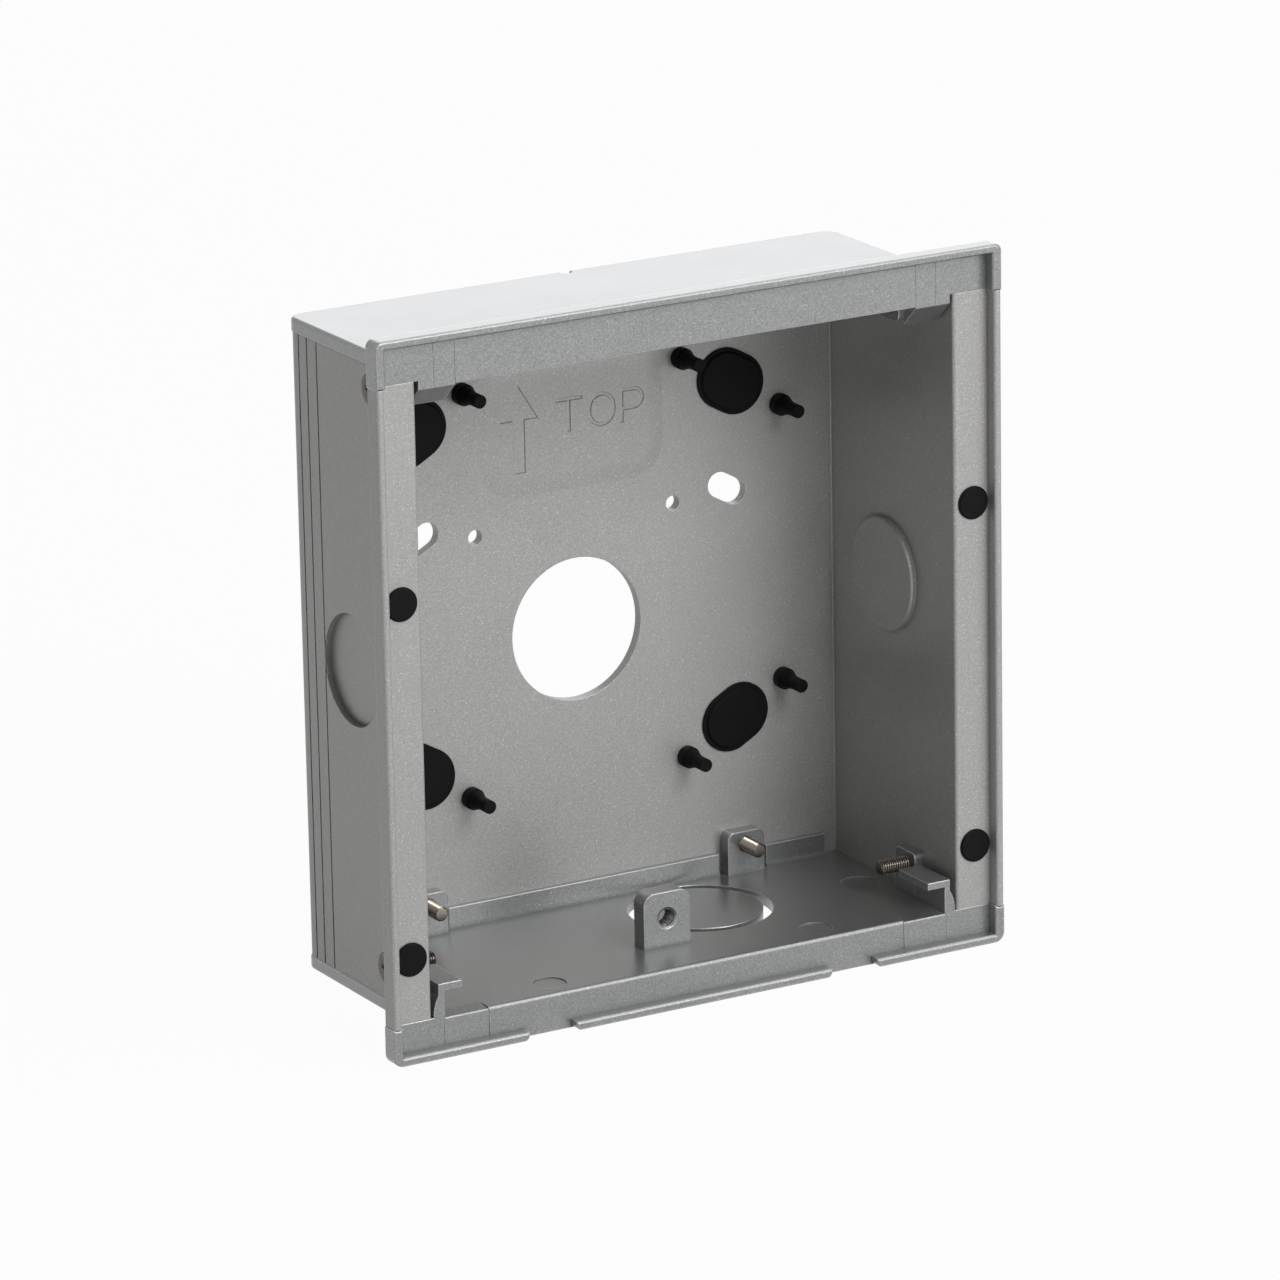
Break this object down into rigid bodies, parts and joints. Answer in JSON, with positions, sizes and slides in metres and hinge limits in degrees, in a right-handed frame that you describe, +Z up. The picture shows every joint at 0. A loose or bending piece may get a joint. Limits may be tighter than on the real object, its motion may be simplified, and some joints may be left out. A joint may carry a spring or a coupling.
{
  "type": "flush back box",
  "caption": "Flush wall box of extruded aluminium with cast end caps, front frame, rear cable hole, rubber plugs and knock-outs, for a wall-mounted unit.",
  "frame": {"origin": "middle of the front frame, in the plane of the rim's front", "axes": "+X to the right seen from the front, +Y into the wall, +Z up, as the arrow inside points"},
  "size_m": [0.158, 0.0582, 0.1634],
  "materials": {
    "extrusion": "fine silver-grey metallic paint on extruded aluminium, satin",
    "casting": "silver-grey metallic paint on a die casting, satin",
    "rubber": "matt black",
    "screw": "nickel plated"
  },
  "bodies": {
    "root": {"body": "extrusion", "top_cap": "casting", "bottom_cap": "casting", "oval_plug_top_left": "rubber", "pin_top_left_inner": "rubber", "pin_top_left_outer": "rubber", "side_screw_top_left": "screw", "back_screw_top_left": "screw", "oval_plug_top_right": "rubber", "pin_top_right_inner": "rubber", "pin_top_right_outer": "rubber", "side_screw_top_right": "screw", "back_screw_top_right": "screw", "oval_plug_bottom_left": "rubber", "pin_bottom_left_inner": "rubber", "pin_bottom_left_outer": "rubber", "side_screw_bottom_left": "screw", "back_screw_bottom_left": "screw", "oval_plug_bottom_right": "rubber", "pin_bottom_right_inner": "rubber", "pin_bottom_right_outer": "rubber", "side_screw_bottom_right": "screw", "back_screw_bottom_right": "screw", "edge_plug_upper_left": "rubber", "edge_plug_upper_right": "rubber", "edge_plug_lower_left": "rubber", "edge_plug_lower_right": "rubber"}
  },
  "joints": []
}
